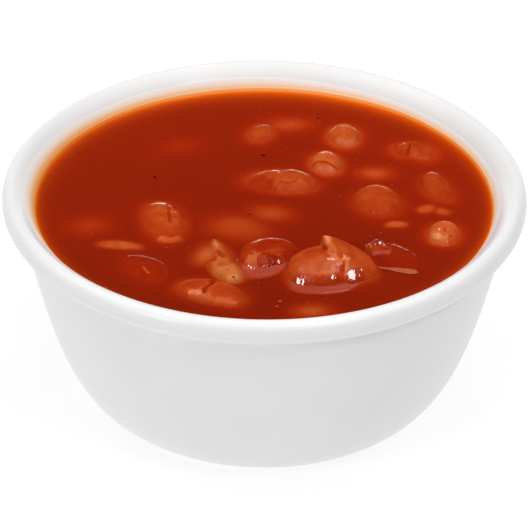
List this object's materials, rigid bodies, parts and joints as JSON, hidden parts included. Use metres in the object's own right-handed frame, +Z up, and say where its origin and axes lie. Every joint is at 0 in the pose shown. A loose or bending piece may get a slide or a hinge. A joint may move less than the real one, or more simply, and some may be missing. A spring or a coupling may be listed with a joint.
{
  "type": "bowl of beans in chili sauce",
  "caption": "Small white bowl with a rolled lip, filled with soft pinto beans in smooth red chili sauce; whole and split beans show at the surface.",
  "frame": {"origin": "middle of the flat spot that the bowl stands on", "axes": "+Z up, -Y towards the pictured front, +X to the right seen from the front"},
  "size_m": [0.11, 0.11, 0.0509],
  "materials": {
    "bowl_glaze": "glossy white glaze",
    "chili_sauce": "wet, smooth and slightly translucent",
    "bean_skin": "wet bean skin under a thin film of sauce",
    "bean_flesh": "soft, grainy tan flesh of a split bean"
  },
  "bodies": {
    "root": {"bowl": "bowl_glaze", "chili_sauce": "chili_sauce", "bean_front_right": "bean_skin", "bean_wrinkled": "bean_skin", "bean_split_tan": "bean_flesh", "bean_front_left": "bean_skin", "bean_left": "bean_skin", "bean_behind_tan": "bean_skin", "bean_middle": "bean_skin", "bean_ring": "bean_skin", "bean_back": "bean_skin", "bean_back_left": "bean_skin", "bean_cleft": "bean_skin", "bean_round_right": "bean_skin", "bean_far_right": "bean_skin", "bean_bit_a": "bean_skin", "bean_bit_b": "bean_skin", "bean_right_end": "bean_skin", "bean_dark_right": "bean_skin", "bean_sliver_right": "bean_flesh", "bean_glassy_left": "bean_skin", "bean_sliver_left": "bean_flesh"}
  },
  "joints": []
}
